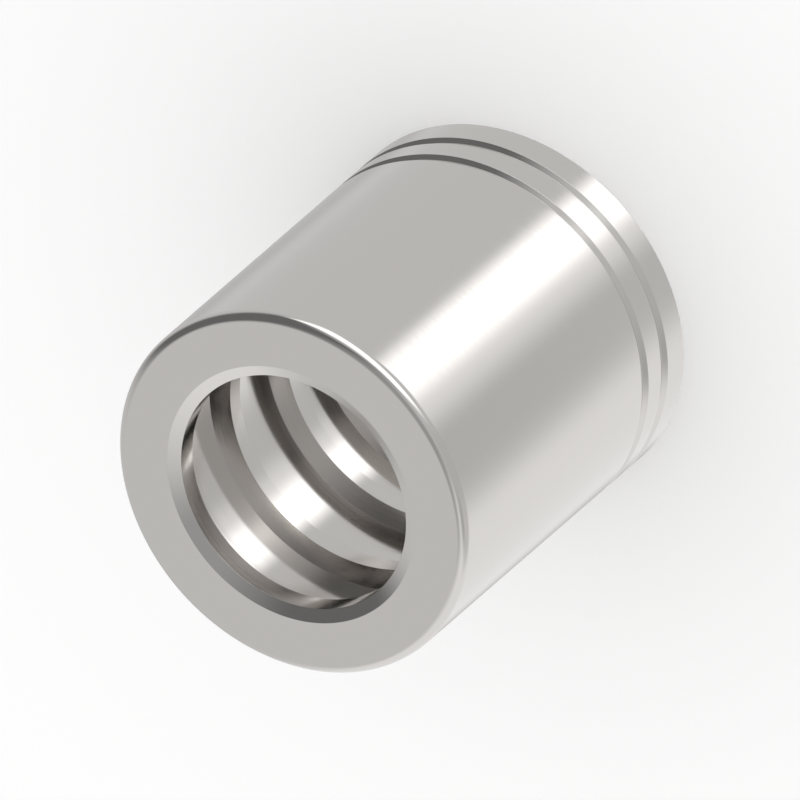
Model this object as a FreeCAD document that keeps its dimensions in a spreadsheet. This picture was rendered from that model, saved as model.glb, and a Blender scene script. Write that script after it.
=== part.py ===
import FreeCAD, Part
import os
import Sketcher

# Crimp ferrule for a hydraulic hose, turned from one piece of steel bar.
# The ferrule stands on its hose end: the hose goes in at height 0, the collar is at the top.
# Its axis is +Z, and the origin is the centre of the hose-end face. Lengths are in millimetres.

DIMENSIONS = [
    ("outside_dia", 31.0, "outside of the ferrule before it is crimped"),
    ("overall_length", 33.7, "end face to end face"),
    ("edge_round", 0.8, "round of the outer edge at the collar end"),
    ("collar_bore_dia", 20.0, "hole in the collar, for the neck of the hose fitting"),
    ("collar_thickness", 2.2, "collar, from its end face to its back face"),
    ("mouth_dia", 22.0, "chamfer of the collar hole, at the end face"),
    ("mouth_depth", 0.45, "depth of that chamfer"),
    ("land_dia", 23.4, "lands of the gripping ridges, and the bore where the hose goes in"),
    ("groove_dia", 26.9, "bottom of the grooves between the ridges"),
    ("groove_pitch", 8.54, "distance from one ridge to the next"),
    ("full_grooves", 2, "number of grooves of full width"),
    ("land_width", 1.5, "land of a ridge, along the axis"),
    ("wall_lean", 0.18, "how much narrower a groove is at each side of its bottom"),
    ("first_ridge_depth", 10.96, "top of the first ridge's land, from the collar end face"),
    ("last_groove_width", 5.23, "last groove, the narrowest, between its lands"),
    ("lead_in_dia", 25.0, "lead-in chamfer for the hose, at the hose-end face"),
    ("lead_in_depth", 0.8, "depth of that chamfer"),
    ("mark_width", 1.06, "width of a marking groove at the surface"),
    ("mark_depth", 0.33, "depth of a marking groove"),
    ("mark_floor", 0.4, "width of its flat bottom"),
    ("mark_pitch", 2.97, "distance between the marking grooves"),
    ("mark_count", 2, "number of marking grooves"),
    ("mark_height", 2.92, "middle of the lowest marking groove, from the hose-end face"),
]

# Heights along the axis that more than one feature uses.
COLLAR_FACE = "Sizes.overall_length"
COLLAR_BACK = "Sizes.overall_length - Sizes.collar_thickness"
FIRST_RIDGE = "Sizes.overall_length - Sizes.first_ridge_depth"
GROOVE_WIDTH = "(Sizes.groove_pitch - Sizes.land_width)"
LAST_TOP = FIRST_RIDGE + " - Sizes.groove_pitch * (Sizes.full_grooves - 1) - Sizes.land_width"

# Radii that more than one feature uses.
OUTSIDE = "Sizes.outside_dia / 2"
COLLAR_BORE = "Sizes.collar_bore_dia / 2"
LAND = "Sizes.land_dia / 2"
GROOVE = "Sizes.groove_dia / 2"

FULL_TURN = 360
TOLERANCE = 1e-4


def fill_sheet(doc):
    """Write the driving dimensions into the sheet, each under its alias."""
    sheet = doc.addObject("Spreadsheet::Sheet", "Sizes")
    for row, (alias, value, meaning) in enumerate(DIMENSIONS, start=1):
        sheet.set("A%d" % row, meaning)
        sheet.set("B%d" % row, str(value))
        sheet.setAlias("B%d" % row, alias)
    doc.recompute()
    return sheet


def origin_feature(body, role):
    """The body's own origin plane or axis of that role."""
    return next(item for item in body.Origin.OriginFeatures if item.Role == role)


def turned_section(body, name, corners):
    """A closed section on the XZ plane, each corner bound to (radius, height) formulas."""
    sketch = body.newObject("Sketcher::SketchObject", name)
    sketch.AttachmentSupport = (origin_feature(body, "XZ_Plane"), [""])
    sketch.MapMode = "FlatFace"
    sizes = body.Document.getObject("Sizes")
    points = []
    for radius, height in corners:
        points.append(FreeCAD.Vector(sizes.evalExpression(radius), sizes.evalExpression(height), 0))
    count = len(points)
    for index, point in enumerate(points):
        sketch.addGeometry(Part.LineSegment(point, points[(index + 1) % count]))
    for index in range(count):
        sketch.addConstraint(Sketcher.Constraint("Coincident", index, 2, (index + 1) % count, 1))
    for index, (radius, height) in enumerate(corners):
        place_corner(sketch, index, "X", points[index].x, radius)
        place_corner(sketch, index, "Y", points[index].y, height)
    return sketch


def place_corner(sketch, index, direction, value, formula):
    """Hold the start of line number index at a distance from the sketch's origin."""
    label = "corner_%d_%s" % (index, direction.lower())
    distance = Sketcher.Constraint("Distance" + direction, -1, 1, index, 1, value)
    number = sketch.addConstraint(distance)
    sketch.renameConstraint(number, label)
    sketch.setExpression("Constraints." + label, formula)


def turn(body, kind, name, corners):
    """Add (Revolution) or cut (Groove) the section all round the axis."""
    sketch = turned_section(body, name + "_section", corners)
    feature = body.newObject("PartDesign::" + kind, name)
    feature.Profile = sketch
    feature.ReferenceAxis = (sketch, ["V_Axis"])
    feature.Angle = FULL_TURN
    body.Document.recompute()
    return feature


def ring_section(inner, outer, low, high):
    """Corners of a rectangular section between two radii and two heights."""
    return [(inner, low), (outer, low), (outer, high), (inner, high)]


def groove_section(low, width):
    """Corners of an inside groove whose walls lean towards each other down to its flat bottom.

    The section starts at the collar's bore, well inside the space that is bored already.
    """
    high = "%s + %s" % (low, width)
    return [
        (COLLAR_BORE, low),
        (LAND, low),
        (GROOVE, low + " + Sizes.wall_lean"),
        (GROOVE, high + " - Sizes.wall_lean"),
        (LAND, high),
        (COLLAR_BORE, high),
    ]


def mark_section(middle):
    """Corners of an outside groove with sloping sides and a flat bottom, open to the outside."""
    low = "%s - Sizes.mark_width / 2" % middle
    high = "%s + Sizes.mark_width / 2" % middle
    floor_low = "%s - Sizes.mark_floor / 2" % middle
    floor_high = "%s + Sizes.mark_floor / 2" % middle
    floor = OUTSIDE + " - Sizes.mark_depth"
    clear = OUTSIDE + " + Sizes.mark_depth"
    return [
        (floor, floor_low),
        (OUTSIDE, low),
        (clear, low),
        (clear, high),
        (OUTSIDE, high),
        (floor, floor_high),
    ]


def repeat_down(body, name, original, spacing, number):
    """Repeat a cut along the axis, towards the hose end."""
    pattern = body.newObject("PartDesign::LinearPattern", name)
    pattern.Originals = [original]
    pattern.Direction = (origin_feature(body, "Z_Axis"), [""])
    pattern.Reversed = True
    pattern.setExpression("Length", "%s * (%s - 1)" % (spacing, number))
    pattern.setExpression("Occurrences", number)
    body.Tip = pattern
    body.Document.recompute()
    return pattern


def circle_edge(feature, radius, height):
    """Name of the feature's circular edge of that radius at that height."""
    for number, edge in enumerate(feature.Shape.Edges, start=1):
        curve = edge.Curve
        if not isinstance(curve, Part.Circle):
            continue
        if abs(curve.Radius - radius) < TOLERANCE and abs(curve.Center.z - height) < TOLERANCE:
            return "Edge%d" % number
    raise RuntimeError("no edge of radius %.3f at height %.3f" % (radius, height))


def chamfer(body, name, base, radius, height, radial, axial):
    """Chamfer a bore's mouth, with its own width along the face and depth along the bore."""
    sizes = body.Document.getObject("Sizes")
    edge = circle_edge(base, sizes.evalExpression(radius), sizes.evalExpression(height))
    feature = body.newObject("PartDesign::Chamfer", name)
    feature.Base = (base, [edge])
    feature.ChamferType = "Two distances"
    feature.setExpression("Size", radial)
    feature.setExpression("Size2", axial)
    body.Document.recompute()
    opened = sizes.evalExpression(radius) + sizes.evalExpression(radial)
    if mouth_radius(feature, height) < opened - TOLERANCE:
        feature.FlipDirection = True
        body.Document.recompute()
    return feature


def mouth_radius(feature, height):
    """Radius of the smallest circular edge of the feature at that height."""
    level = feature.Document.getObject("Sizes").evalExpression(height)
    radii = []
    for edge in feature.Shape.Edges:
        if isinstance(edge.Curve, Part.Circle) and abs(edge.Curve.Center.z - level) < TOLERANCE:
            radii.append(edge.Curve.Radius)
    return min(radii)


def build_ferrule(doc):
    """The ferrule, in the order in which it is turned: bar, bores, grooves, edges, marks."""
    body = doc.addObject("PartDesign::Body", "ferrule")
    body.Label = "ferrule"

    # The bar is faced to length.
    turn(body, "Revolution", "bar", ring_section("0", OUTSIDE, "0", COLLAR_FACE))

    # The collar's bore goes right through, and the hose socket stops at the collar's back face.
    turn(body, "Groove", "collar_bore", ring_section("0", COLLAR_BORE, "0", COLLAR_FACE))
    turn(body, "Groove", "hose_bore", ring_section("0", LAND, "0", COLLAR_BACK))

    # Grooves in the socket leave ridges standing, whose edges bite into the hose when it is crimped.
    groove = turn(body, "Groove", "full_groove", groove_section(FIRST_RIDGE, GROOVE_WIDTH))
    repeat_down(body, "full_grooves", groove, "Sizes.groove_pitch", "Sizes.full_grooves")
    last_low = LAST_TOP + " - Sizes.last_groove_width"
    grooves = turn(body, "Groove", "last_groove", groove_section(last_low, "Sizes.last_groove_width"))

    # The mouths of both bores are chamfered, the collar's flat and wide, the hose's as a lead-in.
    mouth = chamfer(
        body, "collar_mouth", grooves, COLLAR_BORE, COLLAR_FACE,
        "(Sizes.mouth_dia - Sizes.collar_bore_dia) / 2", "Sizes.mouth_depth",
    )
    lead_in = chamfer(
        body, "lead_in", mouth, LAND, "0",
        "(Sizes.lead_in_dia - Sizes.land_dia) / 2", "Sizes.lead_in_depth",
    )

    # The outer edge is rounded at the collar end only, and stays sharp at the hose end.
    sizes = doc.getObject("Sizes")
    outer_edge = circle_edge(lead_in, sizes.evalExpression(OUTSIDE), sizes.evalExpression(COLLAR_FACE))
    edge_round = body.newObject("PartDesign::Fillet", "edge_round")
    edge_round.Base = (lead_in, [outer_edge])
    edge_round.setExpression("Radius", "Sizes.edge_round")
    doc.recompute()

    # The marking grooves near the hose end are shallow, with sloping sides.
    top_mark = "Sizes.mark_height + Sizes.mark_pitch * (Sizes.mark_count - 1)"
    mark = turn(body, "Groove", "mark", mark_section(top_mark))
    repeat_down(body, "marks", mark, "Sizes.mark_pitch", "Sizes.mark_count")
    return body


def check_document(doc):
    """Stop if any object failed to compute."""
    for item in doc.Objects:
        if "Invalid" in item.State or "Error" in item.State:
            raise RuntimeError("%s failed: %s" % (item.Label, item.State))


def check_cuts(body):
    """Stop if a feature that should remove metal removed none."""
    volumes = []
    for feature in body.Group:
        if feature.isDerivedFrom("PartDesign::Feature"):
            volumes.append((feature.Label, feature.Shape.Volume))
    for (_, before), (label, after) in zip(volumes, volumes[1:]):
        print("%-14s removes %8.2f mm3" % (label, before - after))
        if before - after < TOLERANCE:
            raise RuntimeError("%s removes nothing" % label)


def write_step(body):
    """Check the solid, and write it under the name of its node."""
    shape = body.Shape
    if shape.isNull() or not shape.isValid() or len(shape.Solids) != 1:
        raise RuntimeError("%s isn't one valid solid" % body.Label)
    shape.exportStep(os.path.join("parts", body.Label + ".step"))
    box = shape.optimalBoundingBox()
    print("%s: %.2f x %.2f x %.2f mm" % (body.Label, box.XLength, box.YLength, box.ZLength))
    print("%s: %.1f mm3" % (body.Label, shape.Volume))


document = FreeCAD.newDocument("CrimpFerrule")
fill_sheet(document)
ferrule = build_ferrule(document)
document.recompute()
check_document(document)
check_cuts(ferrule)
os.makedirs("parts", exist_ok=True)
write_step(ferrule)
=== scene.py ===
import math
import bpy
from mathutils import Matrix, Vector


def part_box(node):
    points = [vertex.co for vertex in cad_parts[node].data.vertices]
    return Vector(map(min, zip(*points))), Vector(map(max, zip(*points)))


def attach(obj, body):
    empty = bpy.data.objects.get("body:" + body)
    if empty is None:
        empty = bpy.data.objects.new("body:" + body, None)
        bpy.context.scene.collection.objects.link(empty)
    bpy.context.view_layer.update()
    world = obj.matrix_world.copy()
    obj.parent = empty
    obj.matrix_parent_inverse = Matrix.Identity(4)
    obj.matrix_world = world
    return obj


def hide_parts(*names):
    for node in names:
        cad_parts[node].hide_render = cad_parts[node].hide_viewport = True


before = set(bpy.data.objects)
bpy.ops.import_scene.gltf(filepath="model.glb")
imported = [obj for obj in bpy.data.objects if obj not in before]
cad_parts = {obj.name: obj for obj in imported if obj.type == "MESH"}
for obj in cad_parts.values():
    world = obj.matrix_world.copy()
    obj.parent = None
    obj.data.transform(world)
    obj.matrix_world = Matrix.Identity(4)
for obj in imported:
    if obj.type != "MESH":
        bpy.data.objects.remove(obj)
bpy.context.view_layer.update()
bpy.ops.object.select_all(action="DESELECT")

# Ferrule.
# One piece of free-cutting steel, turned and bored from the bar: a collar at the top, and below it a
# sleeve with broad grooves inside, whose lands bite into the hose when the sleeve is crimped.

MM = 0.001
(_, _, hose_face), (outside, _, collar_face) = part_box("ferrule")

collar_bore = 10.0 * MM
collar_thickness = 2.2 * MM
mouth = 11.0 * MM
mouth_depth = 0.45 * MM

land = 11.7 * MM
land_width = 1.5 * MM
groove = 13.45 * MM
groove_pitch = 8.54 * MM
wall_lean = 0.18 * MM
first_ridge_depth = 10.96 * MM
full_groove_width = groove_pitch - land_width
last_groove_width = 5.23 * MM
groove_widths = [full_groove_width, full_groove_width, last_groove_width]
first_top = collar_face - first_ridge_depth + full_groove_width
groove_tops = [first_top - step * groove_pitch for step in range(len(groove_widths))]
plain_bore_top = groove_tops[-1] - groove_widths[-1]
lead_in = 12.5 * MM
lead_in_depth = 0.8 * MM

mark_width = 1.06 * MM
mark_depth = 0.33 * MM
mark_floor = 0.4 * MM
mark_heights = [hose_face + 2.92 * MM, hose_face + 5.89 * MM]

edge_round = 0.8 * MM
edge_round_facets = 12
edge_break = 0.015 * MM
edge_break_facets = 2
sharp_angle = math.radians(20)
facets = 256
merge_distance = 0.001 * MM
find_distance = 0.01 * MM


def section_corners():
    """Corners (radius, height) of the turned section, up the outside and down the bore."""
    corners = [(outside, hose_face)]
    for height in mark_heights:
        corners += [(outside, height - mark_width / 2), (outside - mark_depth, height - mark_floor / 2)]
        corners += [(outside - mark_depth, height + mark_floor / 2), (outside, height + mark_width / 2)]
    corners += [(outside, collar_face), (mouth, collar_face), (collar_bore, collar_face - mouth_depth)]
    corners += [(collar_bore, collar_face - collar_thickness), (land, collar_face - collar_thickness)]
    for top, width in zip(groove_tops, groove_widths):
        low = top - width
        corners += [(land, top), (groove, top - wall_lean), (groove, low + wall_lean), (land, low)]
    corners += [(land, hose_face + lead_in_depth), (lead_in, hose_face)]
    return corners


def spin_section(name, corners):
    """Walk a ring of edges through the corners, which leaves the turned surface behind it."""
    radius, height = corners[0]
    bpy.ops.mesh.primitive_circle_add(vertices=facets, radius=radius, location=(0, 0, height))
    piece = bpy.context.object
    piece.name = name
    bpy.ops.object.transform_apply(location=True, rotation=True, scale=True)
    bpy.ops.object.mode_set(mode="EDIT")
    bpy.ops.mesh.select_all(action="SELECT")
    for next_radius, next_height in corners[1:] + corners[:1]:
        growth = next_radius / radius
        bpy.ops.mesh.extrude_region_move()
        bpy.ops.transform.resize(value=(growth, growth, 1), center_override=(0, 0, height))
        bpy.ops.transform.translate(value=(0, 0, next_height - height))
        radius, height = next_radius, next_height
    bpy.ops.mesh.select_all(action="SELECT")
    bpy.ops.mesh.remove_doubles(threshold=merge_distance)
    bpy.ops.mesh.normals_make_consistent(inside=False)
    bpy.ops.mesh.select_all(action="DESELECT")
    bpy.ops.object.mode_set(mode="OBJECT")
    return piece


def select_ring(piece, radius, height):
    """Select the edges of one ring of the piece, by their place, and go to edit mode."""
    points = piece.data.vertices
    for edge in piece.data.edges:
        ends = [points[number].co for number in edge.vertices]
        level = all(abs(end.z - height) < find_distance for end in ends)
        edge.select = level and all(abs(end.xy.length - radius) < find_distance for end in ends)
    bpy.ops.object.mode_set(mode="EDIT")
    bpy.ops.mesh.select_mode(type="EDGE")


ferrule = spin_section("turned_ferrule", section_corners())
select_ring(ferrule, outside, collar_face)
bpy.ops.mesh.bevel(offset=edge_round, segments=edge_round_facets, affect="EDGES")
bpy.ops.object.mode_set(mode="OBJECT")

breaks = ferrule.modifiers.new("edge_breaks", "BEVEL")
breaks.width = edge_break
breaks.segments = edge_break_facets
breaks.limit_method = "ANGLE"
breaks.angle_limit = sharp_angle
breaks.harden_normals = True
bpy.ops.object.shade_smooth_by_angle(angle=sharp_angle)
bpy.ops.object.modifier_apply(modifier="edge_breaks")


def linear(code):
    """An sRGB hex colour as linear red, green, blue and alpha."""
    parts = [int(code[start:start + 2], 16) / 255 for start in (0, 2, 4)]
    return [part / 12.92 if part <= 0.04045 else ((part + 0.055) / 1.055) ** 2.4 for part in parts] + [1.0]


def add(tree, kind, settings=None, **links):
    """Add a node with its settings and inputs, an input by its name, or as i0, i1 by its number."""
    node = tree.nodes.new(kind)
    for key, value in (settings or {}).items():
        setattr(node, key, value)
    for key, value in links.items():
        numbered = key[0] == "i" and key[1:].isdigit()
        socket = node.inputs[int(key[1:]) if numbered else key]
        if isinstance(value, bpy.types.NodeSocket):
            tree.links.new(value, socket)
        else:
            socket.default_value = value
    return node


# Bright turned steel under a thin clear passivated plating: a warm light grey that mirrors nearly
# sharply, with faint rings from the tool. The real feed of about 0.1 mm is too fine to show here,
# so the rings are drawn 0.3 mm apart.
steel_colour = "D8D5D2"
ring_spacing = 0.30 * MM
ring_relief = 0.0008 * MM
ring_detail = 2.0
ring_low = 0.3
ring_high = 0.7
finest = 0.105
coarsest = 0.155
bored_roughness = 0.45
bore_reach = lead_in + edge_break

steel = bpy.data.materials.new("bright_turned_steel")
steel.use_nodes = True
tree = steel.node_tree
surface = tree.nodes["Principled BSDF"]
surface.inputs["Base Color"].default_value = linear(steel_colour)
surface.inputs["Metallic"].default_value = 1.0

# The rings follow radius and height alone, so that each one runs right round the piece.
place = add(tree, "ShaderNodeTexCoord").outputs["Object"]
flat = add(tree, "ShaderNodeVectorMath", {"operation": "MULTIPLY"}, i0=place, i1=(1, 1, 0)).outputs[0]
radius = add(tree, "ShaderNodeVectorMath", {"operation": "LENGTH"}, i0=flat).outputs["Value"]
height = add(tree, "ShaderNodeSeparateXYZ", Vector=place).outputs["Z"]
section = add(tree, "ShaderNodeCombineXYZ", X=radius, Y=height).outputs[0]
rings = add(tree, "ShaderNodeTexNoise", {"noise_dimensions": "2D"}, Vector=section,
            Scale=1 / ring_spacing, Detail=ring_detail).outputs[0]
turned = add(tree, "ShaderNodeMapRange", i0=rings, i1=ring_low, i2=ring_high,
             i3=finest, i4=coarsest).outputs[0]
relief = add(tree, "ShaderNodeBump", Height=rings, Distance=ring_relief).outputs["Normal"]
tree.links.new(relief, surface.inputs["Normal"])

# The plain bore below the last groove is left as it was bored, so it only gleams softly.
below = add(tree, "ShaderNodeMath", {"operation": "LESS_THAN"}, i0=height, i1=plain_bore_top).outputs[0]
within = add(tree, "ShaderNodeMath", {"operation": "LESS_THAN"}, i0=radius, i1=bore_reach).outputs[0]
bored = add(tree, "ShaderNodeMath", {"operation": "MULTIPLY"}, i0=below, i1=within).outputs[0]
finish = add(tree, "ShaderNodeMix", i0=bored, i2=turned, i3=bored_roughness).outputs[0]
tree.links.new(finish, surface.inputs["Roughness"])

ferrule.data.materials.clear()
ferrule.data.materials.append(steel)
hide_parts("ferrule")
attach(ferrule, "root")

# Floor.
# A sheet of matt white paper under the ferrule, which keeps its soft shadow. The metal mirrors the
# studio and not the paper, and the paper blocks no light that comes from below.

floor_size = 4.0
floor_gap = 0.02 * MM

bpy.ops.mesh.primitive_plane_add(size=floor_size, location=(0, 0, hose_face - floor_gap))
floor = bpy.context.object
floor.name = "floor"
floor.visible_glossy = False
floor.visible_shadow = False

paper = bpy.data.materials.new("white_paper")
paper.use_nodes = True
sheet = paper.node_tree.nodes["Principled BSDF"]
sheet.inputs["Base Color"].default_value = linear("FFFFFF")
sheet.inputs["Roughness"].default_value = 1.0
sheet.inputs["Specular IOR Level"].default_value = 0.0
floor.data.materials.append(paper)

# Studio.
# Pale walls, lit panels and dark flags stand round the ferrule for its metal to mirror. They are
# drawn in the world by direction, and every ray that isn't mirrored gets plain white light.

# Each panel: azimuth from the camera's side, elevation and roll in degrees, half width, half height
# and the softness of its sides and ends as parts of the sphere's radius, and its brightness. A later
# panel stands in front of the earlier ones.
panels = [
    ("right_wall", 128, -15, 0, 0.60, 0.90, 0.14, 0.20, 0.97),
    ("side_shade", 60, 30, 0, 0.35, 0.22, 0.12, 0.14, 0.50),
    ("low_back", 190, -50, 0, 0.33, 0.30, 0.12, 0.15, 0.55),
    ("shade", 40, -5, 0, 0.34, 0.75, 0.20, 0.20, 0.58),
    ("ceiling", 0, 90, 0, 0.42, 0.42, 0.20, 0.20, 0.40),
    ("flag", -100, 36, 0, 0.66, 0.62, 0.15, 0.20, 0.16),
    ("back_wall", 180, 30, 0, 0.25, 0.60, 0.20, 0.20, 0.70),
    ("doorway", 180, -3, 0, 0.12, 0.10, 0.12, 0.10, 0.56),
    ("bounce", 9, -48, 0, 0.14, 0.30, 0.14, 0.12, 1.00),
    ("glow", -6, 30, 0, 0.28, 0.15, 0.12, 0.12, 0.90),
    ("key", -29, 6, 35, 0.60, 0.28, 0.10, 0.10, 1.90),
    ("strip", -9, -62, 0, 0.165, 0.33, 0.08, 0.07, 1.80),
]
wall_level = 0.68
plain_level = 1.0
behind = -0.1
in_front = 0.2
soft = {"interpolation_type": "SMOOTHSTEP"}

world = bpy.data.worlds.new("studio")
bpy.context.scene.world = world
world.use_nodes = True
tree = world.node_tree
tree.nodes.clear()
direction = add(tree, "ShaderNodeTexCoord").outputs["Generated"]

level = wall_level
for name, azimuth, elevation, roll, half_width, half_height, side_soft, end_soft, brightness in panels:
    turn = math.radians(azimuth)
    tilt = math.radians(elevation)
    lean = math.radians(roll)
    ahead = Vector((-math.sin(turn) * math.cos(tilt), -math.cos(turn) * math.cos(tilt), math.sin(tilt)))
    across = Vector((-math.cos(turn), math.sin(turn), 0))
    upward = across.cross(ahead)
    side = across * math.cos(lean) + upward * math.sin(lean)
    rise = upward * math.cos(lean) - across * math.sin(lean)
    facing = add(tree, "ShaderNodeVectorMath", {"operation": "DOT_PRODUCT"}, i0=direction, i1=ahead)
    cover = add(tree, "ShaderNodeMapRange", soft, i0=facing.outputs["Value"], i1=behind, i2=in_front,
                i3=0.0, i4=1.0).outputs[0]
    for axis, half, fade in ((side, half_width, side_soft), (rise, half_height, end_soft)):
        along = add(tree, "ShaderNodeVectorMath", {"operation": "DOT_PRODUCT"}, i0=direction, i1=axis)
        away = add(tree, "ShaderNodeMath", {"operation": "ABSOLUTE"}, i0=along.outputs["Value"]).outputs[0]
        inside = add(tree, "ShaderNodeMapRange", soft, i0=away, i1=half - fade, i2=half + fade,
                     i3=1.0, i4=0.0).outputs[0]
        cover = add(tree, "ShaderNodeMath", {"operation": "MULTIPLY"}, i0=cover, i1=inside).outputs[0]
    level = add(tree, "ShaderNodeMix", {"label": name}, i0=cover, i2=level, i3=brightness).outputs[0]

mirrored = add(tree, "ShaderNodeLightPath").outputs["Is Glossy Ray"]
shown = add(tree, "ShaderNodeMix", i0=mirrored, i2=plain_level, i3=level).outputs[0]
light = add(tree, "ShaderNodeBackground", Color=linear("FFFFFF"), Strength=shown).outputs[0]
add(tree, "ShaderNodeOutputWorld", Surface=light)

# Camera.
# The photograph is a parallel view from 48.6 degrees above the level of the floor, rolled so that the
# collar points down to the left. Its scale comes from the outside of the ferrule.

photo_size = 800
outside_radius_px = 201.15
collar_centre_px = (290.1, 494.2)
photo_scale = outside / outside_radius_px
ellipse_ratio = 0.75
view_height = math.asin(ellipse_ratio)
view_roll = math.radians(-130.9)
view_distance = 0.5

towards = Vector((0, -math.cos(view_height), math.sin(view_height)))
sideways = Vector((1, 0, 0))
upright = towards.cross(sideways)
right = sideways * math.cos(view_roll) + upright * math.sin(view_roll)
up = towards.cross(right)
centre_px = (photo_size - 1) / 2
middle = Vector((0, 0, collar_face))
middle += right * (centre_px - collar_centre_px[0]) * photo_scale
middle += up * (collar_centre_px[1] - centre_px) * photo_scale

view = bpy.data.cameras.new("camera")
view.type = "ORTHO"
view.ortho_scale = photo_size * photo_scale
camera = bpy.data.objects.new("camera", view)
bpy.context.scene.collection.objects.link(camera)
turned_to = Matrix((right, up, towards)).transposed().to_4x4()
camera.matrix_world = Matrix.Translation(middle + towards * view_distance) @ turned_to
bpy.context.scene.camera = camera

bpy.context.scene.view_settings.view_transform = "Standard"
